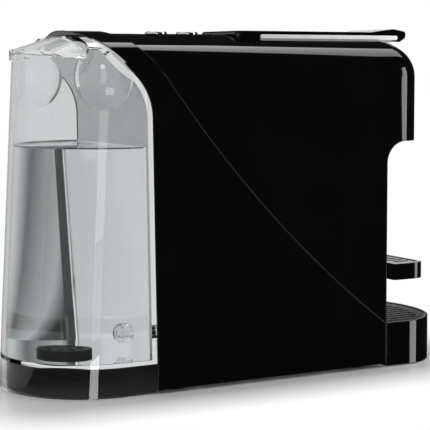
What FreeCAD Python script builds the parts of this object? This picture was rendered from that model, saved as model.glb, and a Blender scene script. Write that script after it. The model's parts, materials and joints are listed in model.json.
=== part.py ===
import FreeCAD, Part
import math
import os

# Slim pod coffee machine. Frame: +Z up, front towards -Y, origin on the table
# under the middle of the footprint, millimetres.

DRIVING_DIMENSIONS = {
    "body_width": 120,
    "base_level": 3,
    "crown_level": 245,
    "crown_radius": 120,
    "shoulder_radius": 24,
    "shell_wall": 3,
    "seam_gap": 0.4,
    "rear_face_low": 83.3,
    "rear_face_high": 87,
    "arch_start": 203,
    "arch_radius": 40,
    "arch_end": 128,
    "hoop_level": 246.5,
    "column_front": -106,
    "head_front": -149,
    "head_under": 167,
    "head_fillet": 16,
    "lever_width": 52,
    "lever_under": 241.5,
    "lever_top": 247.3,
    "lever_tip": -148,
    "hinge_pin_radius": 1.5,
    "panel_front": 14,
    "panel_rear": 68,
    "panel_width": 48,
    "panel_level": 244.4,
    "button_radius": 8,
    "button_level": 246.6,
    "button_spacing": 25,
    "tank_radius": 60,
    "tank_rear_low": 170,
    "tank_rear_high": 158,
    "tank_wall": 2.8,
    "tank_bottom": 1.4,
    "tank_floor": 21,
    "tank_gap": 0.5,
    "scoop_radius": 30,
    "dock_level": 20.4,
    "tray_front": -170,
    "tray_level": 33,
    "tray_bulge": 43,
    "shelf_front": -145,
    "shelf_level": 76,
    "shelf_height": 12,
    "shelf_width": 116,
    "drawer_width": 100,
    "drawer_low": 36,
    "drawer_high": 150,
}

doc = FreeCAD.newDocument("pod_coffee_machine")
sheet = doc.addObject("Spreadsheet::Sheet", "dims")
for row, (alias, number) in enumerate(DRIVING_DIMENSIONS.items(), start=1):
    sheet.set(f"A{row}", alias)
    sheet.set(f"B{row}", str(number))
    sheet.setAlias(f"B{row}", alias)
doc.recompute()

nodes = []


# Helpers


def dim(alias):
    """A driving dimension, read back from the sheet."""
    return float(sheet.get(alias))


def vec(x, y, z=0.0):
    return FreeCAD.Vector(x, y, z)


def keep(feature, label):
    """Names a finished sub-part and lists it for export."""
    feature.Label = label
    nodes.append(feature)
    return feature


def rounded(*corners):
    """Edges of a closed outline; each corner (x, y, radius) becomes a tangent arc."""
    turns = []
    for index, (x, y, radius) in enumerate(corners):
        here = vec(x, y)
        before = (vec(*corners[index - 1][:2]) - here).normalize()
        after = (vec(*corners[(index + 1) % len(corners)][:2]) - here).normalize()
        half = before.getAngle(after) / 2
        inward = (before + after).normalize() if radius else vec(0, 0)
        reach = radius / math.tan(half)
        middle = here + inward * (radius / math.sin(half) - radius)
        turns.append((here + before * reach, middle, here + after * reach, radius))
    edges = []
    for index, (first, middle, last, radius) in enumerate(turns):
        if radius:
            edges.append(Part.Arc(first, middle, last))
        following = turns[(index + 1) % len(turns)][0]
        edges.append(Part.LineSegment(last, following))
    return edges


def rectangle(x0, y0, x1, y1, radius=0.0):
    return rounded((x0, y0, radius), (x1, y0, radius), (x1, y1, radius), (x0, y1, radius))


def circle(x, y, radius):
    return [Part.Circle(vec(x, y), vec(0, 0, 1), radius)]


def slot(x, y0, y1, width):
    """Round-ended slot along the sketch's second axis."""
    half = width / 2
    return [
        Part.LineSegment(vec(x - half, y0), vec(x - half, y1)),
        Part.Arc(vec(x - half, y1), vec(x, y1 + half), vec(x + half, y1)),
        Part.LineSegment(vec(x + half, y1), vec(x + half, y0)),
        Part.Arc(vec(x + half, y0), vec(x, y0 - half), vec(x - half, y0)),
    ]


def body(name):
    return doc.addObject("PartDesign::Body", name)


def sketch(owner, role, edges, lift=0.0):
    """Sketch on one of the body's own planes, moved along the plane's normal."""
    drawing = owner.newObject("Sketcher::SketchObject", owner.Name + "_outline")
    plane = next(f for f in owner.Origin.OriginFeatures if f.Role == role)
    drawing.AttachmentSupport = (plane, [""])
    drawing.MapMode = "FlatFace"
    drawing.AttachmentOffset = FreeCAD.Placement(vec(0, 0, lift), FreeCAD.Rotation())
    drawing.addGeometry(edges, False)
    return drawing


def pad(owner, role, edges, length, lift=0.0, symmetric=False):
    """Pad whose length is an expression on the sheet."""
    feature = owner.newObject("PartDesign::Pad", owner.Name + "_pad")
    feature.Profile = sketch(owner, role, edges, lift)
    feature.SideType = "Symmetric" if symmetric else "One side"
    feature.setExpression("Length", length)
    return feature


def pocket(owner, role, edges, length, lift=0.0, symmetric=False):
    """Cut of a given depth that must take material away; it runs along the plane's normal."""
    doc.recompute()
    volume = owner.Shape.Volume
    feature = owner.newObject("PartDesign::Pocket", owner.Name + "_pocket")
    feature.Profile = sketch(owner, role, edges, lift)
    feature.SideType = "Symmetric" if symmetric else "One side"
    feature.Reversed = not symmetric
    feature.setExpression("Length", length)
    doc.recompute()
    if owner.Shape.Volume >= volume:
        raise RuntimeError(f"{owner.Name}: a pocket cut nothing")
    return feature


def turned(owner, edges, place):
    """Full turn of a side-view outline about the upright line through Y = place."""
    feature = owner.newObject("PartDesign::Revolution", owner.Name + "_turn")
    feature.Profile = sketch(owner, "YZ_Plane", edges)
    upright = sketch(owner, "YZ_Plane", [Part.LineSegment(vec(place, 0), vec(place, 10))])
    feature.ReferenceAxis = (upright, ["Edge1"])
    feature.Angle = 360
    return feature


def trim(owner, role, edges):
    """Cuts away all that lies outside an outline, right through the body."""
    doc.recompute()
    far = 600
    feature = owner.newObject("PartDesign::Pocket", owner.Name + "_trim")
    feature.Profile = sketch(owner, role, rectangle(-far, -far, far, far) + edges)
    feature.Type = "ThroughAll"
    feature.SideType = "Symmetric"
    return feature


def cut(name, base, *tools):
    """Base with the tools taken away."""
    tool = tools[0]
    if len(tools) > 1:
        tool = doc.addObject("Part::MultiFuse", name + "_tools")
        tool.Shapes = list(tools)
    feature = doc.addObject("Part::Cut", name)
    feature.Base = base
    feature.Tool = tool
    return feature


def fuse(name, *shapes):
    feature = doc.addObject("Part::MultiFuse", name)
    feature.Shapes = list(shapes)
    feature.Refine = True
    return feature


def group(name, *shapes):
    feature = doc.addObject("Part::Compound", name)
    feature.Links = list(shapes)
    return feature


def cylinder(name, radius, height, place, axis="Z"):
    """Cylinder with expressions for radius and height, starting at place."""
    feature = doc.addObject("Part::Cylinder", name)
    feature.setExpression("Radius", radius)
    feature.setExpression("Height", height)
    turn = {
        "X": FreeCAD.Rotation(vec(0, 1, 0), 90),
        "Y": FreeCAD.Rotation(vec(1, 0, 0), -90),
        "Z": FreeCAD.Rotation(),
    }[axis]
    feature.Placement = FreeCAD.Placement(vec(*place), turn)
    return feature


def sphere(name, radius, place):
    feature = doc.addObject("Part::Sphere", name)
    feature.setExpression("Radius", radius)
    feature.Placement.Base = vec(*place)
    return feature


def block(name, low, high):
    """Upright box between two corners."""
    feature = doc.addObject("Part::Box", name)
    feature.Length = high[0] - low[0]
    feature.Width = high[1] - low[1]
    feature.Height = high[2] - low[2]
    feature.Placement.Base = vec(*low)
    return feature


# Sizes worked out from the driving ones

half_width = dim("body_width") / 2
wall = dim("shell_wall")
base = dim("base_level")
crown = dim("crown_level")
gap = dim("seam_gap")
rear_low = dim("rear_face_low")
rear_high = dim("rear_face_high")
column = dim("column_front")
head = dim("head_front")
under = dim("head_under")
tray_level = dim("tray_level")

# Level to which the side walls are upright, and where the shoulder meets the crown
crown_centre = crown - dim("crown_radius")
shoulder_reach = dim("crown_radius") - dim("shoulder_radius")
shoulder_x = half_width - dim("shoulder_radius")
shoulder_level = crown_centre + math.sqrt(shoulder_reach**2 - shoulder_x**2)


def crown_section(lift=0.0, inset=0.0):
    """Front view of the body: upright sides, rounded shoulders, gently crowned top."""
    half = half_width - inset
    radius = dim("shoulder_radius") - inset
    level = shoulder_level + lift
    spread = (dim("crown_radius") - inset) / shoulder_reach
    join = vec(shoulder_x * spread, crown_centre + (shoulder_level - crown_centre) * spread + lift)
    mirror = vec(-join.x, join.y)
    bend = radius * math.sqrt(0.5)
    low = -10
    return [
        Part.LineSegment(vec(-half, low), vec(-half, level)),
        Part.Arc(vec(-half, level), vec(-shoulder_x - bend, level + bend), mirror),
        Part.Arc(mirror, vec(0, crown + lift - inset), join),
        Part.Arc(join, vec(shoulder_x + bend, level + bend), vec(half, level)),
        Part.LineSegment(vec(half, level), vec(half, low)),
        Part.LineSegment(vec(half, low), vec(-half, low)),
    ]


def side_seam(shift):
    """S-shaped seam between the shells, from the hoop's top down to the drip tray."""
    dy = -shift * math.sqrt(0.5)
    dz = shift * math.sqrt(0.5)
    top = vec(105 + dy, 250 + dz)
    upper = vec(77 + dy, 215.5 + dz)
    bend = vec(50 + dy, 181.5 + dz)
    lower = vec(-18 + dy, 107.5 + dz)
    foot = vec(column, tray_level + dz)
    return top, upper, bend, lower, foot


def rear_at(level):
    """Y of the leaning rear face that the tank stands against."""
    slope = (rear_high - rear_low) / (dim("arch_start") - base)
    return rear_low + (level - base) * slope


# The crown's section turns down at the head's front and becomes the head's plan below it
nose = head + crown - shoulder_level


def crown_cap():
    """The rounded part of the crown's section, closed along its foot."""
    foot = Part.LineSegment(vec(half_width, shoulder_level), vec(-half_width, shoulder_level))
    return crown_section()[1:4] + [foot]


def head_waste():
    """Plan of what comes off in front of the head below its rounded top."""
    edges = []
    for arc in crown_section()[1:4]:
        middle = arc.value((arc.FirstParameter + arc.LastParameter) / 2)
        points = [arc.StartPoint, middle, arc.EndPoint]
        edges.append(Part.Arc(*[vec(p.x, nose - (p.y - shoulder_level)) for p in points]))
    outside = half_width + 10
    far = head - 10
    turns = [(half_width, nose), (outside, nose), (outside, far), (-outside, far), (-outside, nose)]
    turns.append((-half_width, nose))
    for first, last in zip(turns, turns[1:]):
        edges.append(Part.LineSegment(vec(*first), vec(*last)))
    return edges


# Upper shell: top, head and column, above the S-shaped seam

seam_top, seam_upper, seam_bend, seam_lower, seam_foot = side_seam(gap)
upper = body("upper_body")
head_outline = rounded(
    (column, seam_foot.y, 0),
    (column, under, dim("head_fillet")),
    (head, under, 5),
    (head, crown, 0),
    (seam_top.x, crown, 0),
    (seam_top.x, seam_top.y, 0),
)
seam_arcs = [
    Part.Arc(seam_top, seam_upper, seam_bend),
    Part.Arc(seam_bend, seam_lower, seam_foot),
]
pad(upper, "YZ_Plane", head_outline[:-1] + seam_arcs, "dims.body_width", symmetric=True)
trim(upper, "XZ_Plane", crown_section())
# Rounded front of the head, in plan; its top corner comes off at the end
plan_low = under - 11
pocket(upper, "XY_Plane", head_waste(), str(shoulder_level - plan_low), lift=plan_low)
# Hollow inside: wide between the side walls, narrower under the crown and in the head
pocket(
    upper,
    "YZ_Plane",
    rounded(
        (column + wall, 10, 0),
        (column + wall, under + wall, 0),
        (nose + 2, under + wall, 4),
        (nose + 2, shoulder_level, 4),
        (110, shoulder_level, 0),
        (110, 10, 0),
    ),
    "dims.body_width - 2 * dims.shell_wall",
    symmetric=True,
)
pocket(
    upper,
    "YZ_Plane",
    rounded(
        (head + 11, under + wall, 4),
        (head + 11, 234, 24),
        (84, 234, 4),
        (84, under + wall, 0),
    ),
    "80",
    symmetric=True,
)
# Flat recesses in the crown for the lever and for the control panel
recess = dim("lever_under") - 0.5
lever_half = dim("lever_width") / 2
pocket(upper, "XY_Plane", rectangle(-lever_half - 0.6, head - 5, lever_half + 0.6, 5, 3), "20", lift=recess)
panel_half = dim("panel_width") / 2
panel_front = dim("panel_front")
panel_rear = dim("panel_rear")
pocket(
    upper,
    "XY_Plane",
    rectangle(-panel_half - 0.3, panel_front - 0.3, panel_half + 0.3, panel_rear + 0.3, 8.3),
    "20",
    lift=recess + 1,
)
# Capsule slot, lever arm slots and button wells through the top
capsule_half = 17
pocket(upper, "XY_Plane", rectangle(-capsule_half, -78, capsule_half, -44, 6), "30", lift=225)
arm_x = 19
for side in (-1, 1):
    pocket(upper, "XY_Plane", rectangle(side * arm_x - 3.2, -29, side * arm_x + 3.2, 4, 1), "30", lift=225)
button_middle = (panel_front + panel_rear) / 2
button_places = [button_middle + side * dim("button_spacing") / 2 for side in (-1, 1)]
for place in button_places:
    pocket(upper, "XY_Plane", circle(0, place, dim("button_radius") + 0.4), "30", lift=225)
# Hinge lug for the lever, standing in its recess
lug_half = 11
hinge_level = (dim("lever_under") + dim("lever_top")) / 2
hinge_round = (dim("lever_top") - dim("lever_under")) / 2
pad(
    upper,
    "YZ_Plane",
    rounded(
        (-hinge_round, recess - 3, 0),
        (hinge_round, recess - 3, 0),
        (hinge_round, hinge_level + hinge_round, hinge_round - 0.05),
        (-hinge_round, hinge_level + hinge_round, hinge_round - 0.05),
    ),
    str(2 * lug_half),
    symmetric=True,
)
pin_hole = dim("hinge_pin_radius") + 0.05
pocket(upper, "YZ_Plane", circle(0, hinge_level, pin_hole), "60", symmetric=True)
# Bay for the capsule drawer in the column, and the hole for the spout
drawer_half = dim("drawer_width") / 2
drawer_low = dim("drawer_low")
drawer_high = dim("drawer_high")
pocket(
    upper,
    "XZ_Plane",
    rectangle(-drawer_half - 0.5, drawer_low - 10, drawer_half + 0.5, drawer_high + 0.5, 7),
    "30",
    lift=-column - 20,
)
spout_place = head + 27
pocket(upper, "XY_Plane", circle(0, spout_place, 9.2), "20", lift=under - 5)
# Top corner of the head: what lies outside the crown's section turned about the nose
barrel = body("head_barrel")
turn = barrel.newObject("PartDesign::Revolution", "head_turn")
turn.Profile = sketch(barrel, "XZ_Plane", crown_cap(), -nose)
level_line = [Part.LineSegment(vec(-10, shoulder_level), vec(10, shoulder_level))]
turn.ReferenceAxis = (sketch(barrel, "XZ_Plane", level_line, -nose), ["Edge1"])
turn.Angle = 360
corner = block("head_corner", (-70, head - 10, shoulder_level), (70, nose, crown + 20))
keep(cut("upper_solid", upper, cut("head_corner_waste", corner, barrel)), "upper_shell")


# Lower shell: sides below the seam, rear wall and the hoop that arches over the tank


def rear_outline(offset):
    """Side view of the rear face: leaning wall, then the arch; offset is into the body."""
    return (
        (rear_at(base) - offset, base, 0),
        (rear_high - offset, dim("arch_start") + 0.4 * offset, dim("arch_radius") + offset),
        (dim("arch_end") - 0.7 * offset, dim("hoop_level") + 0.7 * offset, 0),
    )


seam_top, seam_upper, seam_bend, seam_lower, seam_foot = side_seam(0)
lower = body("lower_body")
lower_outline = rounded(
    (seam_foot.x, seam_foot.y, 0),
    (column, base, 0),
    *rear_outline(0),
    (seam_top.x, dim("hoop_level"), 0),
    (seam_top.x, seam_top.y, 0),
)
seam_arcs = [
    Part.Arc(seam_top, seam_upper, seam_bend),
    Part.Arc(seam_bend, seam_lower, seam_foot),
]
pad(lower, "YZ_Plane", lower_outline[:-1] + seam_arcs, "dims.body_width", symmetric=True)
hoop_lift = dim("hoop_level") - crown
trim(lower, "XZ_Plane", crown_section(hoop_lift))
pocket(
    lower,
    "YZ_Plane",
    rounded(
        (column - 5, -5, 0),
        (rear_at(base) - wall, -5, 0),
        (rear_high - wall, dim("arch_start"), 30),
        (rear_high + 8, shoulder_level, 0),
        (column - 5, shoulder_level, 0),
    ),
    "dims.body_width - 2 * dims.shell_wall",
    symmetric=True,
)
# Shallow recess for the pale panel behind the tank, and the hole for its outlet
panel_depth = 1.3
panel_cover = 116
panel_bottom = 28


def rear_sheet(inner, outer):
    """Side view of a thin sheet that follows the rear face and the arch."""
    near = rear_outline(outer)
    far = rear_outline(inner)
    foot = (rear_at(panel_bottom) - outer, panel_bottom, 0)
    heel = (rear_at(panel_bottom) - inner, panel_bottom, 0)
    lean = 0.85
    near_tip = tuple(lean * a + (1 - lean) * b for a, b in zip(near[2], near[1][:2] + (0,)))
    far_tip = tuple(lean * a + (1 - lean) * b for a, b in zip(far[2], far[1][:2] + (0,)))
    return rounded(foot, near[1], near_tip, far_tip, far[1], heel)


pocket(lower, "YZ_Plane", rear_sheet(panel_depth + 0.1, -2), str(panel_cover + 0.4), symmetric=True)
outlet_level = 36
pocket(lower, "XZ_Plane", circle(0, outlet_level, 9), "20", lift=-95)
keep(lower, "lower_shell")

rear_panel = body("rear_panel_body")
pad(rear_panel, "YZ_Plane", rear_sheet(panel_depth, 0.1), str(panel_cover), symmetric=True)
trim(rear_panel, "XZ_Plane", crown_section(hoop_lift, 0.3))
pocket(rear_panel, "XZ_Plane", circle(0, outlet_level, 9), "20", lift=-95)
keep(rear_panel, "rear_panel")

# Base plate with vents, rubber feet and screws

plate = body("base_plate_body")
plate_half = half_width - wall - 0.3
plate_front = -104
plate_rear = rear_at(base) - wall - 0.5
pad(plate, "XY_Plane", rectangle(-plate_half, plate_front, plate_half, plate_rear, 6), "3", lift=base)
vents = []
for place in range(-24, 25, 8):
    vents += slot(place, 20, 50, 3)
pocket(plate, "XY_Plane", vents, "10", lift=base - 3)
keep(plate, "base_plate")

foot_places = [(x, y) for x in (-42, 42) for y in (-88, 62)]
feet = []
for number, (x, y) in enumerate(foot_places):
    foot = doc.addObject("Part::Cone", f"foot_{number}")
    foot.Radius1 = 8
    foot.Radius2 = 9
    foot.setExpression("Height", "dims.base_level")
    foot.Placement.Base = vec(x, y, 0)
    feet.append(foot)
keep(group("feet_group", *feet), "feet")

screw_places = [(x, y) for x in (-48, 48) for y in (-60, 5, 45)]
screws = []
for number, (x, y) in enumerate(screw_places):
    screws.append(cylinder(f"screw_{number}", "3", "1.2", (x, y, base - 1.2)))
keep(group("screw_group", *screws), "base_screws")

# Dock: the black plinth inside the tank's clear skirt

straight_low = dim("tank_rear_low") - dim("tank_radius")
straight_high = dim("tank_rear_high") - dim("tank_radius")


def d_plan(radius, middle, front):
    """Plan of the tank: straight sides and a half-round rear."""
    return [
        Part.LineSegment(vec(-radius, front), vec(radius, front)),
        Part.LineSegment(vec(radius, front), vec(radius, middle)),
        Part.Arc(vec(radius, middle), vec(0, middle + radius), vec(-radius, middle)),
        Part.LineSegment(vec(-radius, middle), vec(-radius, front)),
    ]


dock = body("dock_body")
dock_radius = dim("tank_radius") - dim("tank_wall") - 1.2
pad(dock, "XY_Plane", d_plan(dock_radius, straight_low - 1.5, 60), "dims.dock_level - 1.6", lift=1.6)
trim(
    dock,
    "YZ_Plane",
    rounded((rear_at(0), 0, 0), (200, 0, 0), (200, 60, 0), (rear_at(60), 60, 0)),
)
ribs = []
for place in range(-40, 41, 10):
    ribs += rectangle(place - 3.5, 92, place + 3.5, 140, 2)
pocket(dock, "XY_Plane", ribs, "18", lift=0)
keep(dock, "tank_dock")

# Water tank: clear, half-round at the rear, with a skirt, finger scoops and a slanted mouth

tank_gap = dim("tank_gap")
tank_wall = dim("tank_wall")
loft_top = 255
mouth_front = (dim("arch_end") + 1.0, 241.4)
lid_slab = 3.0
lid_gap = 0.6
lid_crest = 243
lid_lean = math.radians(16.7)


def tank_loft(name, inset, bottom):
    """Tapered half-round column, the tank's outside or its hollow."""
    owner = body(name)
    rise = (straight_high - straight_low) / (mouth_front[1] - dim("tank_bottom"))
    loft = owner.newObject("PartDesign::AdditiveLoft", name + "_loft")
    radius = dim("tank_radius") - inset
    levels = (bottom, loft_top)
    profiles = []
    for level in levels:
        middle = straight_low + rise * (level - dim("tank_bottom"))
        profiles.append(sketch(owner, "XY_Plane", d_plan(radius, middle, 75), level))
    loft.Profile = profiles[0]
    loft.Sections = profiles[1:]
    loft.Ruled = True
    return owner


def dome(name, drop):
    """Solid under the crown's section laid along the lid's slope, lowered by drop."""
    owner = body(name)
    rise = mouth_front[0] * math.sin(lid_lean) + lid_crest * math.cos(lid_lean) - crown
    section = sketch(owner, "XZ_Plane", crown_section(rise - drop, 0.1))
    section.AttachmentOffset.Rotation = FreeCAD.Rotation(vec(1, 0, 0), -math.degrees(lid_lean))
    feature = owner.newObject("PartDesign::Pad", name + "_pad")
    feature.Profile = section
    feature.SideType = "Symmetric"
    feature.Length = 500
    return owner


def tank_front(inset):
    """Bend and tip of the tank's front in side view, a little behind the body's rear face."""
    return rear_outline(-tank_gap - inset)[1:]


outside = tank_loft("tank_outside", 0, dim("tank_bottom"))
bend, tip = tank_front(0)
reach = (mouth_front[1] - bend[1]) / (tip[1] - bend[1])
brim = (bend[0] + reach * (tip[0] - bend[0]), mouth_front[1], 0)
trim(
    outside,
    "YZ_Plane",
    rounded((rear_at(0) + tank_gap, 0, 0), bend, brim, (220, mouth_front[1], 0), (220, 0, 0)),
)
trim(outside, "XZ_Plane", crown_section(hoop_lift, 0.1))
hollow = tank_loft("tank_hollow", tank_wall, dim("tank_floor") + 2.8)
bend, tip = tank_front(tank_wall)
roof = mouth_front[1] - tank_wall
reach = (roof - bend[1]) / (tip[1] - bend[1])
brim = (bend[0] + reach * (tip[0] - bend[0]), roof, 0)
mouth_lip = mouth_front[0] + 2.4
trim(
    hollow,
    "YZ_Plane",
    rounded(
        (rear_at(0) + tank_gap + tank_wall, 0, 0),
        bend,
        brim,
        (mouth_lip, roof, 0),
        (mouth_lip, loft_top + 10, 0),
        (220, loft_top + 10, 0),
        (220, 0, 0),
    ),
)
trim(hollow, "XZ_Plane", crown_section(hoop_lift, tank_wall))
skirt = tank_loft("tank_skirt", tank_wall, 0)
trim(skirt, "YZ_Plane", rectangle(60, -5, 220, dim("tank_floor")))

scoop_places = [(side * 75, 128, 216) for side in (-1, 1)]
scoops = [sphere(f"scoop_{n}", "dims.scoop_radius", p) for n, p in enumerate(scoop_places)]
bumps = [
    sphere(f"scoop_wall_{n}", "dims.scoop_radius + dims.tank_wall", p) for n, p in enumerate(scoop_places)
]
outlet_hole = cylinder("outlet_hole", "5", "30", (0, 70, outlet_level), "Y")
top_block = block("tank_top_block", (-80, mouth_front[0], 150), (80, 220, 300))
top_waste = cut("tank_top_waste", top_block, dome("tank_dome", lid_slab + lid_gap))
tank = cut("tank_solid", outside, cut("tank_space", hollow, *bumps), skirt, *scoops, outlet_hole, top_waste)
keep(tank, "tank")

outlet = body("outlet_body")
pad(outlet, "XZ_Plane", circle(0, outlet_level, 4.95), "16", lift=-(rear_at(outlet_level) + 8))
pad(
    outlet,
    "XZ_Plane",
    circle(0, outlet_level, 7),
    "2",
    lift=-(rear_at(outlet_level) + tank_gap + tank_wall + 2.6),
)
pocket(outlet, "XZ_Plane", circle(0, outlet_level, 2.6), "60", lift=-(rear_at(outlet_level) + 30))
keep(outlet, "tank_outlet")

strainer = body("strainer_body")
strainer_place = 122
strainer_level = dim("tank_floor") + 2.8
pad(strainer, "XY_Plane", circle(0, strainer_place, 15), "4", lift=strainer_level)
holes = []
for turn in range(8):
    angle = turn * math.pi / 4
    holes += circle(9 * math.cos(angle), strainer_place + 9 * math.sin(angle), 2)
pocket(strainer, "XY_Plane", holes, "3", lift=strainer_level + 2)
keep(strainer, "tank_strainer")

# Tank lid: clear and domed, hinged at its front edge, with a finger lip at the rear

lid_front = mouth_front[0] + 2.0
lid_radius = dim("tank_radius") + 0.2
lid_middle = straight_high + 0.8


def lid_level(y, rise):
    """Height of the lid's crest at Y, plus a rise."""
    return lid_crest - math.tan(lid_lean) * (y - mouth_front[0]) + rise


lid = body("lid_body")
pad(lid, "XY_Plane", d_plan(lid_radius, lid_middle, 60), "80", lift=190)
trim(lid, "YZ_Plane", rectangle(lid_front, 180, 220, 280))
lid_cap = doc.addObject("Part::Common", "lid_cap")
lid_cap.Base = lid
lid_cap.Tool = dome("lid_dome", 0)
lid_shell = cut("lid_shell", lid_cap, dome("lid_underside", lid_slab))
lip = body("lid_lip_body")
lip_inner = lid_middle + dim("tank_radius") + 1.0
pad(lip, "XY_Plane", d_plan(lid_radius + 2.2, lid_middle, 60), "60", lift=200)
trim(
    lip,
    "YZ_Plane",
    rounded(
        (lip_inner, lid_level(lip_inner, -8), 0.6),
        (lip_inner + 6, lid_level(lip_inner + 6, -8), 0),
        (lip_inner + 6, lid_level(lip_inner + 6, -1), 0),
        (lip_inner - 4, lid_level(lip_inner - 4, -1), 0),
        (lip_inner - 4, lid_level(lip_inner - 4, -2.6), 0),
        (lip_inner, lid_level(lip_inner, -2.6), 0),
    ),
)
trim(lip, "XZ_Plane", rectangle(-13, 100, 13, 300))
lid_hinge_level = lid_level(lid_front, -lid_slab / 2 / math.cos(lid_lean))
lid_rod = cylinder("lid_hinge_rod", "1.6", "28", (-14, lid_front, lid_hinge_level), "X")
keep(fuse("lid_solid", lid_shell, lip, lid_rod), "tank_lid")

# Lever: flat handle with a raised lip, crank arms under its rear end and bright side strips

lever = body("lever_body")
lever_under = dim("lever_under")
lever_top = dim("lever_top")
lever_tip = dim("lever_tip")
strip = 1.2
pad(
    lever,
    "YZ_Plane",
    rounded(
        (hinge_round, lever_under, hinge_round - 0.05),
        (lever_tip + 14, lever_under, 6),
        (lever_tip + 6.5, lever_under - 1.6, 2.5),
        (lever_tip + 1, lever_under + 1.5, 2.4),
        (lever_tip, lever_top + 0.6, 2.6),
        (lever_tip + 12, lever_top + 2.6, 12),
        (lever_tip + 32, lever_top, 30),
        (hinge_round, lever_top, hinge_round - 0.05),
    ),
    f"dims.lever_width - {2 * strip + 0.2}",
    symmetric=True,
)
# Knuckle gap for the shell's lug, then the arms
pocket(
    lever,
    "XY_Plane",
    rectangle(-lug_half - 0.4, -hinge_round - 0.6, lug_half + 0.4, 10),
    "20",
    lift=lever_under - 5,
)
arm_reach = 22
for side in (-1, 1):
    pad(
        lever,
        "YZ_Plane",
        rounded(
            (-2.6, hinge_level, 0),
            (2.6, hinge_level, 0),
            (2.6, hinge_level - arm_reach - 2.6, 2.5),
            (-2.6, hinge_level - arm_reach - 2.6, 2.5),
        ),
        "5",
        lift=side * arm_x - 2.5,
    )
pocket(lever, "YZ_Plane", circle(0, hinge_level, pin_hole), "80", symmetric=True)
pocket(lever, "YZ_Plane", circle(0, hinge_level - arm_reach, 1.2), "80", symmetric=True)
keep(lever, "lever")

strips = []
for side in (-1, 1):
    trim_strip = body(f"lever_strip_{'left' if side < 0 else 'right'}")
    pad(
        trim_strip,
        "YZ_Plane",
        rectangle(lever_tip + 9, lever_under + 0.1, -18, lever_under + 3.3, 1.4),
        str(strip),
        lift=side * (lever_half - strip / 2) - strip / 2,
    )
    strips.append(trim_strip)
keep(group("lever_strips", *strips), "lever_trim")

pin_length = dim("lever_width") - 6
pin_place = (-pin_length / 2, 0, hinge_level)
lever_pin = cylinder("lever_pin_rod", "dims.hinge_pin_radius", str(pin_length), pin_place, "X")
keep(lever_pin, "lever_pin")

# Control panel and its two buttons

panel = body("panel_body")
panel_seat = recess + 1
pad(
    panel,
    "XY_Plane",
    rectangle(-panel_half, panel_front, panel_half, panel_rear, 8),
    f"dims.panel_level - {panel_seat}",
    lift=panel_seat,
)
for place in button_places:
    pocket(panel, "XY_Plane", circle(0, place, dim("button_radius") + 0.4), "20", lift=230)
keep(panel, "control_panel")

button_stem = 238
for place, label in zip(button_places, ("button_short", "button_long")):
    button = body(label + "_body")
    turned(
        button,
        rounded(
            (place, button_stem, 0),
            (place + dim("button_radius"), button_stem, 0),
            (place + dim("button_radius"), dim("button_level"), 1.6),
            (place, dim("button_level") - 0.6, 0),
        ),
        place,
    )
    keep(button, label)

# Brew group: fixed injector, sliding carriage, spout under the head

brew_level = 203
injector = body("injector_body")
pad(injector, "XZ_Plane", circle(0, brew_level, 22), "26", lift=16)
pad(injector, "XZ_Plane", rectangle(-30, brew_level - 26, 30, brew_level + 13, 8), "8", lift=12)
pocket(injector, "XZ_Plane", circle(0, brew_level, 17), "9", lift=33)
keep(injector, "brew_injector")

carriage = body("carriage_body")
carriage_rear = -70
carriage_plate = rectangle(-26, brew_level - 24, 26, brew_level + 22, 10)
pad(carriage, "XZ_Plane", carriage_plate, "10", lift=-carriage_rear + 12)
pad(carriage, "XZ_Plane", circle(0, brew_level, 20), "12", lift=-carriage_rear)
pocket(carriage, "XZ_Plane", circle(0, brew_level, 15), "6", lift=-carriage_rear - 0.5)
keep(carriage, "brew_carriage")

spout = body("spout_body")
turned(
    spout,
    rounded(
        (spout_place + 3, under - 13, 0),
        (spout_place + 5.5, under - 13, 1),
        (spout_place + 9, under - 1, 2),
        (spout_place + 9, under + 3.2, 0),
        (spout_place + 12, under + 3.2, 0),
        (spout_place + 12, under + 6, 1),
        (spout_place + 3, under + 6, 0),
    ),
    spout_place,
)
keep(spout, "coffee_spout")

# Inner works: pump, water heater and circuit board

pump = body("pump_body")
pad(pump, "XZ_Plane", circle(0, 42, 20), "44", lift=-70)
pad(pump, "XZ_Plane", circle(0, 42, 11), "16", lift=-26)
pad(pump, "XZ_Plane", circle(0, 42, 5), "10", lift=-10)
pad(pump, "XZ_Plane", rectangle(-22, 6, 22, 34, 3), "30", lift=-63)
keep(pump, "pump")

heater = body("heater_body")
pad(heater, "XY_Plane", rectangle(-32, 5, 32, 60, 10), "44", lift=96)
grooves = []
for level in range(104, 136, 8):
    grooves += rectangle(-34, level, -30, level + 4) + rectangle(30, level, 34, level + 4)
pocket(heater, "XZ_Plane", grooves, "80", lift=-70)
keep(heater, "heater")

board = body("board_body")
pad(board, "XY_Plane", rectangle(-30, panel_front - 2, 30, panel_rear + 2, 3), "1.6", lift=226)
for place in button_places:
    pad(board, "XY_Plane", rectangle(-3, place - 3, 3, place + 3, 0.5), "5", lift=227.6)
keep(board, "circuit_board")

# Capsule drawer: front panel with shelf lugs, and the bin behind it, both on the tray's tongue

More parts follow.
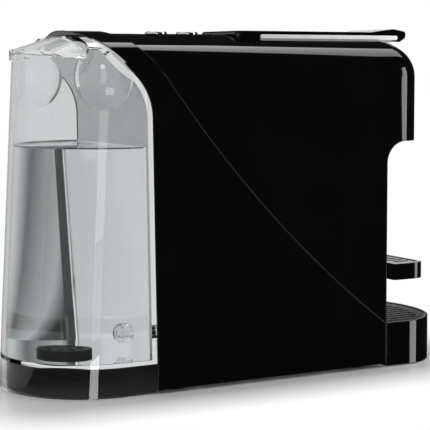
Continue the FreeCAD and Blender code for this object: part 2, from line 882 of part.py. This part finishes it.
drawer_front = body("drawer_front_body")
pad(
    drawer_front,
    "XZ_Plane",
    rectangle(-drawer_half, drawer_low, drawer_half, drawer_high, 6.5),
    "dims.shell_wall",
    lift=-column - wall,
)
shelf_round = dim("shelf_height") / 2
shelf_clearance = 3
shelf_pivot = (column - shelf_round - shelf_clearance, dim("shelf_level") - shelf_round)
lug_x = 30
lug_width = 10
for side in (-1, 1):
    pad(
        drawer_front,
        "YZ_Plane",
        rounded(
            (column + 1, shelf_pivot[1] - 4, 0),
            (shelf_pivot[0] - 4, shelf_pivot[1] - 4, 3.9),
            (shelf_pivot[0] - 4, shelf_pivot[1] + 4, 3.9),
            (column + 1, shelf_pivot[1] + 4, 0),
        ),
        str(lug_width),
        lift=side * lug_x - lug_width / 2,
    )
pocket(drawer_front, "YZ_Plane", circle(*shelf_pivot, pin_hole + 0.5), "100", symmetric=True)
keep(drawer_front, "drawer_front")

bin_body = body("bin_body")
bin_rear = -48
bin_low = drawer_low
bin_top = drawer_high - 20
bin_half = 44
bin_front = column + wall
bin_wall = 2
pad(
    bin_body,
    "XY_Plane",
    rectangle(-bin_half, bin_front, bin_half, bin_rear, 6),
    f"{bin_top - bin_low}",
    lift=bin_low,
)
pocket(
    bin_body,
    "XY_Plane",
    rectangle(-bin_half + bin_wall, bin_front + bin_wall, bin_half - bin_wall, bin_rear - bin_wall, 4.5),
    "200",
    lift=bin_low + bin_wall,
)
keep(bin_body, "capsule_bin")

# Cup shelf: folds up on the drawer front, with a slotted grille

shelf = body("shelf_body")
shelf_half = dim("shelf_width") / 2
shelf_front = dim("shelf_front")
shelf_top = dim("shelf_level")
shelf_low = shelf_top - dim("shelf_height")
pad(
    shelf,
    "YZ_Plane",
    rounded(
        (shelf_pivot[0] + shelf_round, shelf_low, shelf_round - 0.05),
        (shelf_front, shelf_low, 5),
        (shelf_front, shelf_top, 1.5),
        (shelf_pivot[0] + shelf_round, shelf_top, shelf_round - 0.05),
    ),
    "dims.shelf_width",
    symmetric=True,
)
shelf_corner = 12
trim(
    shelf,
    "XY_Plane",
    rounded(
        (-shelf_half, column + 10, 0),
        (shelf_half, column + 10, 0),
        (shelf_half, shelf_front, shelf_corner),
        (-shelf_half, shelf_front, shelf_corner),
    ),
)
# Seat and opening for the grille, gaps for the lugs, bore for the pin
grille_rear = shelf_pivot[0] - 4.5
grille_front = shelf_front + 4
grille_half = shelf_half - 4
pocket(
    shelf,
    "XY_Plane",
    rectangle(-grille_half, grille_front, grille_half, grille_rear, 8),
    "20",
    lift=shelf_top - 2.8,
)
pocket(
    shelf,
    "XY_Plane",
    rectangle(-grille_half + 3, grille_front + 3, grille_half - 3, grille_rear - 3, 5),
    "40",
    lift=shelf_low - 5,
)
for side in (-1, 1):
    lug_side = side * lug_x
    lug_gap = lug_width / 2 + 0.5
    pocket(
        shelf,
        "XY_Plane",
        rectangle(lug_side - lug_gap, shelf_pivot[0] - 5.2, lug_side + lug_gap, column + 5),
        "40",
        lift=shelf_low - 5,
    )
pocket(shelf, "YZ_Plane", circle(*shelf_pivot, pin_hole + 0.45), "110", symmetric=True)
keep(shelf, "cup_shelf")


def slotted_plate(name, outline, low, thickness, slots):
    """Grille: a thin plate with a row of round-ended slots."""
    owner = body(name)
    pad(owner, "XY_Plane", outline, thickness, lift=low)
    gaps = []
    for place, start, end in slots:
        gaps += slot(place, start, end, 4)
    pocket(owner, "XY_Plane", gaps, "20", lift=low - 5)
    return owner


shelf_slots = [(x, grille_front + 6, grille_rear - 6) for x in range(-44, 45, 8)]
shelf_grille = slotted_plate(
    "shelf_grille_body",
    rectangle(-grille_half + 0.2, grille_front + 0.2, grille_half - 0.2, grille_rear - 0.2, 7.8),
    shelf_top - 2.8,
    "2.4",
    shelf_slots,
)
keep(shelf_grille, "shelf_grille")
shelf_pin = cylinder("shelf_pin_rod", "2", "dims.shelf_width - 12", (-shelf_half + 6, *shelf_pivot), "X")
keep(shelf_pin, "shelf_pin")

# Drip tray with its half-elliptical front, and the grille in its top

tray_front = dim("tray_front")
tray_bulge = dim("tray_bulge")
tray_rear = column - 0.5


def tray_plan(inset, rear):
    """Plan of the tray: straight sides and a half-elliptical front."""
    half = half_width - inset
    middle = vec(0, tray_front + tray_bulge)
    oval = Part.Ellipse(middle, half, tray_bulge - inset)
    return [
        Part.ArcOfEllipse(oval, math.pi, 2 * math.pi),
        Part.LineSegment(vec(half, middle.y), vec(half, rear)),
        Part.LineSegment(vec(half, rear), vec(-half, rear)),
        Part.LineSegment(vec(-half, rear), vec(-half, middle.y)),
    ]


tray = body("tray_body")
tray_low = 1.0
tongue_low = base + 3.4
tongue_half = 50
tongue_rear = -60
pad(tray, "XY_Plane", tray_plan(0, tray_rear), f"dims.tray_level - {tray_low}", lift=tray_low)
pad(
    tray,
    "XY_Plane",
    rectangle(-tongue_half, tray_rear - 1, tongue_half, tongue_rear),
    f"dims.drawer_low - {tongue_low}",
    lift=tongue_low,
)
pocket(tray, "XY_Plane", tray_plan(2.4, tray_rear - 2.4), "20", lift=tray_level - 2.8)
pocket(tray, "XY_Plane", tray_plan(5, tray_rear - 5), "40", lift=tray_low + 2.5)
pocket(
    tray,
    "XY_Plane",
    rectangle(-tongue_half + 2.5, tray_rear + 1.5, tongue_half - 2.5, tongue_rear - 2.5, 3),
    "40",
    lift=tongue_low + 2.5,
)
keep(tray, "drip_tray")

tray_slots = []
for x in range(-44, 45, 8):
    reach = (tray_bulge - 14) * math.sqrt(1 - (x / (half_width - 6)) ** 2)
    tray_slots.append((x, tray_front + tray_bulge - reach, tray_rear - 9))
drip_grille = slotted_plate(
    "drip_grille_body",
    tray_plan(2.7, tray_rear - 2.7),
    tray_level - 2.8,
    "2.4",
    tray_slots,
)
keep(drip_grille, "drip_grille")

# Check every object, then write each sub-part


def check_and_write():
    doc.recompute()
    for thing in doc.Objects:
        if "Invalid" in thing.State or "Error" in thing.State:
            raise RuntimeError(f"{thing.Name} failed: {thing.State}")
    os.makedirs("parts", exist_ok=True)
    for node in nodes:
        if node.Shape.isNull() or not node.Shape.isValid():
            raise RuntimeError(f"{node.Label} has no valid shape")
    for node in nodes:
        node.Shape.exportStep(f"parts/{node.Label}.step")


check_and_write()
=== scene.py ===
import json
import math
import bmesh
import bpy
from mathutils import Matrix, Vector


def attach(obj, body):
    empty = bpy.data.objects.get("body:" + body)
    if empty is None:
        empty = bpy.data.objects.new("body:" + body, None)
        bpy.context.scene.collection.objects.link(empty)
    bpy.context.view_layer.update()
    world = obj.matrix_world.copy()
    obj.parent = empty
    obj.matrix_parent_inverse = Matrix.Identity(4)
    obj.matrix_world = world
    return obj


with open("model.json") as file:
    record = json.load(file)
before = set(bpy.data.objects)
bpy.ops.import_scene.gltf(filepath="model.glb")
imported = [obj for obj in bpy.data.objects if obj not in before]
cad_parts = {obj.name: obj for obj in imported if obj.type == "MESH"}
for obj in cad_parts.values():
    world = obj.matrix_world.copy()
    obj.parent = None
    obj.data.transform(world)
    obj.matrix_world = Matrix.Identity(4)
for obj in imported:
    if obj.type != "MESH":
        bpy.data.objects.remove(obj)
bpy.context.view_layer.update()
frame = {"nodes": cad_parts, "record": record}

scene = bpy.context.scene
scene.view_settings.view_transform = "Standard"
# Light is carried along inside the clear walls by many reflections
scene.cycles.max_bounces = 40
scene.cycles.glossy_bounces = 32
scene.cycles.transmission_bounces = 40
scene.cycles.caustics_reflective = False

# Lengths are in metres throughout

# The tank's half-round: the heights of its foot and top, and where its middle lies at each
TANK_LOW = 0.0014
TANK_HIGH = 0.2414
TANK_MIDDLE_LOW = 0.110
TANK_MIDDLE_HIGH = 0.098
TANK_TAPER = (TANK_MIDDLE_LOW - TANK_MIDDLE_HIGH) / (TANK_HIGH - TANK_LOW)


# Node helpers

NOISE_DETAIL = 3.0
NOISE_SPAN = (0.3, 0.7)  # where most of the noise lies
TINT_SPAN = (0.35, 0.65)
EDGE_SAMPLES = 6
PALER = 1.015  # how far the tint of a clear material drifts
ON_WALL = 0.985  # facets that face this nearly outward belong to the half-round wall
# Places of a Mix node's vector sockets, which share their names with others
MIX_VECTOR_A = 4
MIX_VECTOR_B = 5
MIX_VECTOR_RESULT = 1


def new_material(name):
    """A fresh material with its node tree and its main shader."""
    material = bpy.data.materials.new(name)
    material.use_nodes = True
    return material, material.node_tree, material.node_tree.nodes["Principled BSDF"]


def noise(tree, scale, stretch=(1, 1, 1)):
    """Noise in object space; returns its factor socket."""
    place = tree.nodes.new("ShaderNodeTexCoord")
    mapping = tree.nodes.new("ShaderNodeMapping")
    mapping.inputs["Scale"].default_value = stretch
    texture = tree.nodes.new("ShaderNodeTexNoise")
    texture.inputs["Scale"].default_value = scale
    texture.inputs["Detail"].default_value = NOISE_DETAIL
    tree.links.new(place.outputs["Object"], mapping.inputs["Vector"])
    tree.links.new(mapping.outputs["Vector"], texture.inputs["Vector"])
    return texture.outputs["Fac"]


def spread(tree, factor, values, span=NOISE_SPAN):
    """Maps a span of the factor to a range of values."""
    remap = tree.nodes.new("ShaderNodeMapRange")
    remap.inputs["From Min"].default_value = span[0]
    remap.inputs["From Max"].default_value = span[1]
    remap.inputs["To Min"].default_value = values[0]
    remap.inputs["To Max"].default_value = values[1]
    tree.links.new(factor, remap.inputs["Value"])
    return remap.outputs["Result"]


def tint(tree, factor, colours):
    """Blends two colours by a factor."""
    ramp = tree.nodes.new("ShaderNodeValToRGB")
    for element, position, colour in zip(ramp.color_ramp.elements, TINT_SPAN, colours):
        element.position = position
        element.color = (*colour, 1)
    tree.links.new(factor, ramp.inputs["Fac"])
    return ramp.outputs["Color"]


def bump(tree, shader, factor, strength, distance):
    """A fine relief in the surface."""
    node = tree.nodes.new("ShaderNodeBump")
    node.inputs["Strength"].default_value = strength
    node.inputs["Distance"].default_value = distance
    tree.links.new(factor, node.inputs["Height"])
    tree.links.new(node.outputs["Normal"], shader.inputs["Normal"])


def soft_edges(tree, shader, radius):
    """Edges catch the light as if they were slightly rounded."""
    node = tree.nodes.new("ShaderNodeBevel")
    node.samples = EDGE_SAMPLES
    node.inputs["Radius"].default_value = radius
    tree.links.new(node.outputs["Normal"], shader.inputs["Normal"])


def combine(tree, operation, first, second=None):
    """One step of vector arithmetic; the second operand is a socket or a constant."""
    node = tree.nodes.new("ShaderNodeVectorMath")
    node.operation = operation
    tree.links.new(first, node.inputs[0])
    if isinstance(second, tuple):
        node.inputs[1].default_value = second
    elif second is not None:
        tree.links.new(second, node.inputs[1])
    return node.outputs["Value" if operation in ("DOT_PRODUCT", "LENGTH") else "Vector"]


def arithmetic(tree, operation, first, second=None):
    """One step of arithmetic; the second operand is a socket or a constant."""
    node = tree.nodes.new("ShaderNodeMath")
    node.operation = operation
    tree.links.new(first, node.inputs[0])
    if isinstance(second, float):
        node.inputs[1].default_value = second
    elif second is not None:
        tree.links.new(second, node.inputs[1])
    return node.outputs["Value"]


def choose(tree, switch, otherwise, chosen):
    """The chosen value where the switch is on; each value is a socket or a constant."""
    node = tree.nodes.new("ShaderNodeMix")
    tree.links.new(switch, node.inputs["Factor"])
    for name, value in (("A", otherwise), ("B", chosen)):
        if isinstance(value, float):
            node.inputs[name].default_value = value
        else:
            tree.links.new(value, node.inputs[name])
    return node.outputs["Result"]


def moulded(
    name,
    colours,
    rough,
    grain=None,
    metallic=0.0,
    stretch=(1, 1, 1),
    scale=60.0,
    specular=0.5,
    edge=None,
):
    """A solid finish: colour and roughness drift with noise; it has a fine grain or soft edges."""
    material, tree, shader = new_material(name)
    drift = noise(tree, scale, stretch)
    tree.links.new(tint(tree, drift, colours), shader.inputs["Base Color"])
    tree.links.new(spread(tree, drift, rough), shader.inputs["Roughness"])
    shader.inputs["Metallic"].default_value = metallic
    shader.inputs["Specular IOR Level"].default_value = specular
    if edge:
        soft_edges(tree, shader, edge)
    if grain:
        grain_scale, strength, distance = grain
        bump(tree, shader, noise(tree, grain_scale, stretch), strength, distance)
    return material


def clear_material(name, colour, ior, drift_scale):
    """Clear plastic or water: a faint drift of its tint."""
    material, tree, shader = new_material(name)
    drift = noise(tree, drift_scale)
    paler = tuple(min(1.0, c * PALER) for c in colour)
    tree.links.new(tint(tree, drift, (colour, paler)), shader.inputs["Base Color"])
    shader.inputs["Roughness"].default_value = 0.0
    shader.inputs["IOR"].default_value = ior
    shader.inputs["Transmission Weight"].default_value = 1.0
    return material


def even_wall(material):
    """Makes the tank's wall bend light evenly: its normals follow the tapered half-round."""
    tree = material.node_tree
    place = tree.nodes.new("ShaderNodeTexCoord").outputs["Object"]
    geometry = tree.nodes.new("ShaderNodeNewGeometry")
    parts = tree.nodes.new("ShaderNodeSeparateXYZ")
    tree.links.new(place, parts.inputs["Vector"])
    middles = (TANK_MIDDLE_LOW, TANK_MIDDLE_HIGH)
    middle = spread(tree, parts.outputs["Z"], middles, (TANK_LOW, TANK_HIGH))
    from_middle = arithmetic(tree, "SUBTRACT", parts.outputs["Y"], middle)
    behind = arithmetic(tree, "MAXIMUM", from_middle, 0.0)
    radial = tree.nodes.new("ShaderNodeCombineXYZ")
    tree.links.new(parts.outputs["X"], radial.inputs["X"])
    tree.links.new(behind, radial.inputs["Y"])
    tree.links.new(arithmetic(tree, "MULTIPLY", behind, TANK_TAPER), radial.inputs["Z"])
    outward = combine(tree, "NORMALIZE", radial.outputs["Vector"])
    facing = combine(tree, "DOT_PRODUCT", outward, geometry.outputs["True Normal"])
    # On the wall's inner face the normal points the other way
    turned = tree.nodes.new("ShaderNodeVectorMath")
    turned.operation = "SCALE"
    tree.links.new(outward, turned.inputs[0])
    tree.links.new(arithmetic(tree, "SIGN", facing), turned.inputs["Scale"])
    on_wall = arithmetic(tree, "GREATER_THAN", arithmetic(tree, "ABSOLUTE", facing), ON_WALL)
    normal = tree.nodes.new("ShaderNodeMix")
    normal.data_type = "VECTOR"
    tree.links.new(on_wall, normal.inputs[0])
    tree.links.new(geometry.outputs["Normal"], normal.inputs[MIX_VECTOR_A])
    tree.links.new(turned.outputs["Vector"], normal.inputs[MIX_VECTOR_B])
    shader = tree.nodes["Principled BSDF"]
    tree.links.new(normal.outputs[MIX_VECTOR_RESULT], shader.inputs["Normal"])


def let_light_through(piece):
    """Clear pieces leave the lamps' light on what is behind them."""
    piece.visible_shadow = False
    piece.visible_diffuse = False


# Materials, one for each slot of the record
# Each solid one drifts between two colours and over a range of roughness;
# its grain is the scale, strength and depth of a fine relief

SOLID_FINISHES = {
    "gloss_black": {
        "colours": ((0.0016, 0.0016, 0.0018), (0.0022, 0.0022, 0.0024)),
        "rough": (0.035, 0.06),
        "scale": 25,
        "edge": 0.0007,
    },
    "satin_black": {
        "colours": ((0.006, 0.006, 0.0063), (0.009, 0.009, 0.0094)),
        "rough": (0.34, 0.46),
        "grain": (1800, 0.25, 0.0002),
        "specular": 0.06,
    },
    "pale_grey": {
        "colours": ((0.51, 0.512, 0.515), (0.55, 0.552, 0.555)),
        "rough": (0.38, 0.48),
        "grain": (1500, 0.12, 0.0002),
    },
    "chrome": {
        "colours": ((0.80, 0.81, 0.82), (0.84, 0.85, 0.86)),
        "rough": (0.10, 0.16),
        "metallic": 1.0,
        "scale": 90,
    },
    "steel": {
        "colours": ((0.55, 0.55, 0.55), (0.66, 0.66, 0.66)),
        "rough": (0.22, 0.36),
        "grain": (260, 0.15, 0.0002),
        "metallic": 1.0,
        "stretch": (12, 1, 12),
        "scale": 120,
    },
    "rubber": {
        "colours": ((0.02, 0.02, 0.02), (0.032, 0.032, 0.032)),
        "rough": (0.7, 0.85),
        "grain": (2200, 0.4, 0.0003),
    },
    "alloy": {
        "colours": ((0.58, 0.58, 0.59), (0.70, 0.70, 0.71)),
        "rough": (0.40, 0.55),
        "grain": (700, 0.5, 0.0005),
        "metallic": 0.9,
    },
    "board_green": {
        "colours": ((0.03, 0.16, 0.06), (0.06, 0.24, 0.10)),
        "rough": (0.35, 0.5),
        "grain": (400, 0.3, 0.0002),
        "scale": 140,
    },
    "satin_silver": {
        "colours": ((0.86, 0.86, 0.87), (0.91, 0.91, 0.92)),
        "rough": (0.32, 0.42),
        "grain": (900, 0.1, 0.0002),
        "metallic": 0.25,
    },
}
# The lid is a thin sheet, and the outlet stands in water: both bend light less than the wall
BENDING_LESS = ("tank_lid", "tank_outlet")

finishes = {name: moulded(name, **look) for name, look in SOLID_FINISHES.items()}
finishes["clear"] = clear_material("clear", (0.86, 0.875, 0.88), ior=1.49, drift_scale=40)
even_wall(finishes["clear"])
thin_clear = clear_material("thin_clear", (0.90, 0.91, 0.915), ior=1.18, drift_scale=40)
water = clear_material("water", (0.97, 0.985, 0.99), ior=1.333, drift_scale=15)

for subpart in frame["record"]["subparts"]:
    name, slot = subpart["node"], subpart["material_slot"]
    node = frame["nodes"][name]
    node.data.materials.clear()
    node.data.materials.append(thin_clear if name in BENDING_LESS else finishes[slot])
    if slot == "clear":
        let_light_through(node)


# Water in the tank, following the tank's tapered half-round inside with a small gap to its walls

WATER_RADIUS = 0.0569
WATER_FRONT = 0.0869  # where the front lies at its foot
FRONT_FOOT = 0.003
FRONT_LEAN = 0.0185
REAR_ARC_STEPS = 72
CORNER_RADIUS = 0.0032
CORNER_STEPS = 12
WATER_LOW = 0.0241
WATER_LEVEL = 0.167
MENISCUS = 0.0012
# Height and inset of each outline, up the wall and then in over the meniscus
WATER_RINGS = (
    (WATER_LOW, 0.0),
    (WATER_LEVEL + MENISCUS, 0.0),
    (WATER_LEVEL + 0.3 * MENISCUS, 0.0009),
    (WATER_LEVEL, 0.0024),
)
SHARP_ANGLE = math.radians(30)


def water_ring(mesh, level, inset):
    """One closed outline of the tank's inside at a level."""
    radius = WATER_RADIUS - inset
    middle = TANK_MIDDLE_LOW - TANK_TAPER * (level - TANK_LOW)
    front = WATER_FRONT + FRONT_LEAN * (level - FRONT_FOOT) + inset
    corner = []
    for step in range(CORNER_STEPS + 1):
        turn = math.pi / 2 * step / CORNER_STEPS
        across = radius - CORNER_RADIUS + CORNER_RADIUS * math.sin(turn)
        corner.append((across, front + CORNER_RADIUS * (1 - math.cos(turn))))
    points = list(corner)
    for step in range(REAR_ARC_STEPS + 1):
        turn = math.pi * step / REAR_ARC_STEPS
        points.append((radius * math.cos(turn), middle + radius * math.sin(turn)))
    points += [(-x, y) for x, y in reversed(corner)]
    return [mesh.verts.new((x, y, level)) for x, y in points]


def bridge(mesh, lower, upper):
    """A band of faces between two outlines."""
    count = len(lower)
    for index in range(count):
        following = (index + 1) % count
        mesh.faces.new((lower[index], lower[following], upper[following], upper[index]))


def build_water():
    """The water, which moves with the tank."""
    mesh = bmesh.new()
    rings = [water_ring(mesh, level, inset) for level, inset in WATER_RINGS]
    for lower, upper in zip(rings, rings[1:]):
        bridge(mesh, lower, upper)
    mesh.faces.new(rings[-1])
    mesh.faces.new(reversed(rings[0]))
    bmesh.ops.recalc_face_normals(mesh, faces=mesh.faces)
    data = bpy.data.meshes.new("tank_water")
    mesh.to_mesh(data)
    mesh.free()
    data.shade_smooth()
    data.set_sharp_from_angle(angle=SHARP_ANGLE)
    piece = bpy.data.objects.new("tank_water", data)
    scene.collection.objects.link(piece)
    data.materials.append(water)
    let_light_through(piece)
    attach(piece, "tank")


build_water()


# What the clear pieces show of the studio, on the floor and in the background alike: levels by
# compass angle, with painted shade seen through the water

TANK_SPOT = (0.0, 0.12, 0.0)  # the tank's place on the floor
SWEEP = (-90.0, 60.0)  # compass angles in degrees
# Levels by compass angle; behind the water stand two dark flags, painted shade that shows only
# through the water and gives it its grading and a dark strip
AIR_LEVELS = ((-60, 0.95), (-28, 0.88), (42, 0.75))
# Painted shade seen only through the water: two dark flags and the grading between them
PAINTED_WATER_SHADE_LEVELS = (
    (-70, 1.0),
    (-51.5, 0.05),
    (-39, 0.5),
    (-36, 0.02),
    (-14, 0.02),
    (-11, 0.9),
    (42, 0.68),
)
MIRRORED_FLAG = 0.03
# Light that passed fewer surfaces met one wall alone; light that passed more met the water too
SINGLE_WALL = 2.5
WITHOUT_WATER = 5.5


def levels(tree, sweep, stops):
    """A ramp of grey levels over the compass sweep."""
    ramp = tree.nodes.new("ShaderNodeValToRGB")
    elements = ramp.color_ramp.elements
    for degrees, level in stops:
        element = elements.new((degrees - SWEEP[0]) / (SWEEP[1] - SWEEP[0]))
        element.color = (level, level, level, 1)
    elements.remove(elements[0])
    elements.remove(elements[-1])
    tree.links.new(sweep, ramp.inputs["Fac"])
    return ramp.outputs["Color"]


def seen_through(tree, direction):
    """Level of the studio in a direction, as the clear pieces show it; through the water its
    levels are painted shade.
    """
    parts = tree.nodes.new("ShaderNodeSeparateXYZ")
    tree.links.new(direction, parts.inputs["Vector"])
    angle = arithmetic(tree, "ARCTAN2", parts.outputs["Y"], parts.outputs["X"])
    sweep = spread(tree, angle, (0.0, 1.0), [math.radians(degrees) for degrees in SWEEP])
    path = tree.nodes.new("ShaderNodeLightPath")
    depth = path.outputs["Transmission Depth"]
    wet = arithmetic(tree, "GREATER_THAN", depth, WITHOUT_WATER)
    dry_level = levels(tree, sweep, AIR_LEVELS)
    # Through the water the levels are painted shade
    level = choose(tree, wet, dry_level, levels(tree, sweep, PAINTED_WATER_SHADE_LEVELS))
    # A single wall mirrors the dark flags on the camera's side
    shallow = arithmetic(tree, "LESS_THAN", depth, SINGLE_WALL)
    mirrored = arithmetic(tree, "GREATER_THAN", path.outputs["Ray Depth"], depth)
    behind = arithmetic(tree, "LESS_THAN", parts.outputs["X"], 0.0)
    by_one_wall = arithmetic(tree, "MULTIPLY", shallow, mirrored)
    dark = arithmetic(tree, "MULTIPLY", by_one_wall, behind)
    return choose(tree, dark, level, MIRRORED_FLAG)


# Floor: pale and slightly glossy near the object, fading into the white background; near the
# footprint it shows its real shadow and a painted shade, a grey band where the white glow gives
# way

FLOOR_RADIUS = 6.0
FLOOR_EDGES = 96
FLOOR_COLOUR = (0.86, 0.86, 0.86, 1)
FLOOR_ROUGHNESS = (0.22, 0.28)
FLOOR_DRIFT = 30
FOOTPRINT = (0.05, 0.16, 1.0)  # half of the object's footprint
# Painted shade: over these distances from the footprint the white glow falls to this share,
# leaving a grey band around the object
PAINTED_SHADE_REACH = (0.02, 0.075)
PAINTED_SHADE_GLOW = (0.02, 1.0)
WHITE = (1, 1, 1, 1)


def build_floor():
    """The floor with its material."""
    mesh = bmesh.new()
    bmesh.ops.create_circle(mesh, cap_ends=True, segments=FLOOR_EDGES, radius=FLOOR_RADIUS)
    data = bpy.data.meshes.new("floor")
    mesh.to_mesh(data)
    mesh.free()
    floor = bpy.data.objects.new("floor", data)
    scene.collection.objects.link(floor)

    material, tree, shader = new_material("floor")
    shader.inputs["Base Color"].default_value = FLOOR_COLOUR
    roughness = spread(tree, noise(tree, FLOOR_DRIFT), FLOOR_ROUGHNESS)
    tree.links.new(roughness, shader.inputs["Roughness"])
    place = tree.nodes.new("ShaderNodeTexCoord").outputs["Object"]
    beside = combine(tree, "SUBTRACT", combine(tree, "ABSOLUTE", place), FOOTPRINT)
    distance = combine(tree, "LENGTH", combine(tree, "MAXIMUM", beside, (0, 0, 0)))
    painted_shade_fade = spread(tree, distance, PAINTED_SHADE_GLOW, PAINTED_SHADE_REACH)
    path = tree.nodes.new("ShaderNodeLightPath")
    through = seen_through(tree, combine(tree, "SUBTRACT", place, TANK_SPOT))
    glow = tree.nodes.new("ShaderNodeEmission")
    glow.inputs["Color"].default_value = WHITE
    # Seen through the clear pieces the floor glows with the studio levels, painted shade of the
    # water included
    strength = choose(tree, path.outputs["Is Transmission Ray"], 1.0, through)
    tree.links.new(strength, glow.inputs["Strength"])
    # Near the footprint the lit floor shows through the glow: its real shadow, and a painted shade
    # band around it
    near = tree.nodes.new("ShaderNodeMixShader")
    tree.links.new(painted_shade_fade, near.inputs["Fac"])
    tree.links.new(shader.outputs["BSDF"], near.inputs[1])
    tree.links.new(glow.outputs["Emission"], near.inputs[2])
    tree.links.new(near.outputs["Shader"], tree.nodes["Material Output"].inputs["Surface"])
    data.materials.append(material)
    # The object's gloss mirrors dark studio flags in place of the floor
    floor.visible_glossy = False


build_floor()


# Studio: white background, a bright backdrop behind the object, dark flags at the camera's side

BACKDROP = (0.866, -0.5, 0.0)  # its direction from the object
BACKDROP_EDGE = (0.93, 0.985)  # cosines of the angle over which it fades at its sides
BACKDROP_TOP = (0.12, 0.17)  # sines of the elevation over which it fades at its top
UPPER_SHEET = 0.6
UPPER_SHEET_SIDE = (0.0, 0.25)
UPPER_SHEET_FOOT = (0.12, 0.25)
GLOSS_LEVELS = (0.015, 1.0)  # of the flags and of the sheets, as the gloss mirrors them
AMBIENT = 0.55


def build_world():
    """The studio's light from all around, which differs by what the light has met."""
    world = bpy.data.worlds.new("studio")
    scene.world = world
    world.use_nodes = True
    tree = world.node_tree
    background = tree.nodes["Background"]
    direction = tree.nodes.new("ShaderNodeTexCoord").outputs["Generated"]
    parts = tree.nodes.new("ShaderNodeSeparateXYZ")
    tree.links.new(direction, parts.inputs["Vector"])
    towards = combine(tree, "DOT_PRODUCT", direction, BACKDROP)
    ahead = spread(tree, towards, (0.0, 1.0), BACKDROP_EDGE)
    low = spread(tree, parts.outputs["Z"], (1.0, 0.0), BACKDROP_TOP)
    # A paler upper sheet behind the machine shows in the gloss when it is seen from its front
    rearward = spread(tree, parts.outputs["Y"], (0.0, UPPER_SHEET), UPPER_SHEET_SIDE)
    raised = spread(tree, parts.outputs["Z"], (0.0, 1.0), UPPER_SHEET_FOOT)
    upper = arithmetic(tree, "MULTIPLY", rearward, raised)
    sheets = arithmetic(tree, "MAXIMUM", arithmetic(tree, "MULTIPLY", ahead, low), upper)
    mirrored = spread(tree, sheets, GLOSS_LEVELS, (0.0, 1.0))
    path = tree.nodes.new("ShaderNodeLightPath")
    through = seen_through(tree, direction)
    level = choose(tree, path.outputs["Is Glossy Ray"], AMBIENT, mirrored)
    # Through the clear pieces the background shows the studio levels, painted shade of the water
    # included
    level = choose(tree, path.outputs["Is Transmission Ray"], level, through)
    level = choose(tree, path.outputs["Is Camera Ray"], level, 1.0)
    tree.links.new(level, background.inputs["Strength"])
    background.inputs["Color"].default_value = WHITE


def soft_box(name, place, target, size, radiance):
    """A lamp that shines from its place towards a target."""
    width, height = size
    light = bpy.data.lights.new(name, "AREA")
    light.shape = "RECTANGLE"
    light.size = width
    light.size_y = height
    light.energy = radiance * math.pi * width * height
    lamp = bpy.data.objects.new(name, light)
    lamp.location = place
    aim = Vector(target) - Vector(place)
    lamp.rotation_euler = aim.to_track_quat("-Z", "Y").to_euler()
    scene.collection.objects.link(lamp)
    lamp.visible_camera = False
    return lamp


build_world()
soft_box("overhead_box", (0.45, -0.62, 1.25), (0.0, 0.0, 0.2), (1.6, 0.45), 2.4)
soft_box("side_strip", (-0.78, -1.05, 0.10), (-0.02, -0.1, 0.10), (0.42, 1.3), 4.4)
fill = soft_box("fill_box", (-1.2, 0.9, 1.3), (0.0, 0.0, 0.2), (0.6, 0.6), 5.0)
fill.visible_glossy = False
soft_box("tank_strip", (-1.307, 0.451, 0.275), (-0.055, 0.127, 0.275), (0.26, 0.85), 1.3)
soft_box("dock_strip", (-1.307, 0.451, -0.33), (-0.055, 0.127, -0.33), (0.26, 0.3), 8.0)


# Camera, at the photograph's viewing angle

IMAGE_SIZE = 430
FOCAL_PIXELS = 1519.4
SENSOR_WIDTH = 36.0
SHIFT_Y = -0.1
CAMERA_PLACE = (-0.9616, 0.5521, 0.2240)
YAW = 2.0879
PITCH = -0.0714

camera_data = bpy.data.cameras.new("camera")
camera_data.sensor_width = SENSOR_WIDTH
camera_data.lens = FOCAL_PIXELS * SENSOR_WIDTH / IMAGE_SIZE
camera_data.shift_y = SHIFT_Y
camera_data.clip_start = 0.05
camera_data.clip_end = 50.0
camera = bpy.data.objects.new("camera", camera_data)
camera.location = CAMERA_PLACE
level_reach = math.cos(PITCH)
forward = Vector((math.sin(YAW) * level_reach, math.cos(YAW) * level_reach, math.sin(PITCH)))
camera.rotation_euler = forward.to_track_quat("-Z", "Y").to_euler()
scene.collection.objects.link(camera)
scene.camera = camera
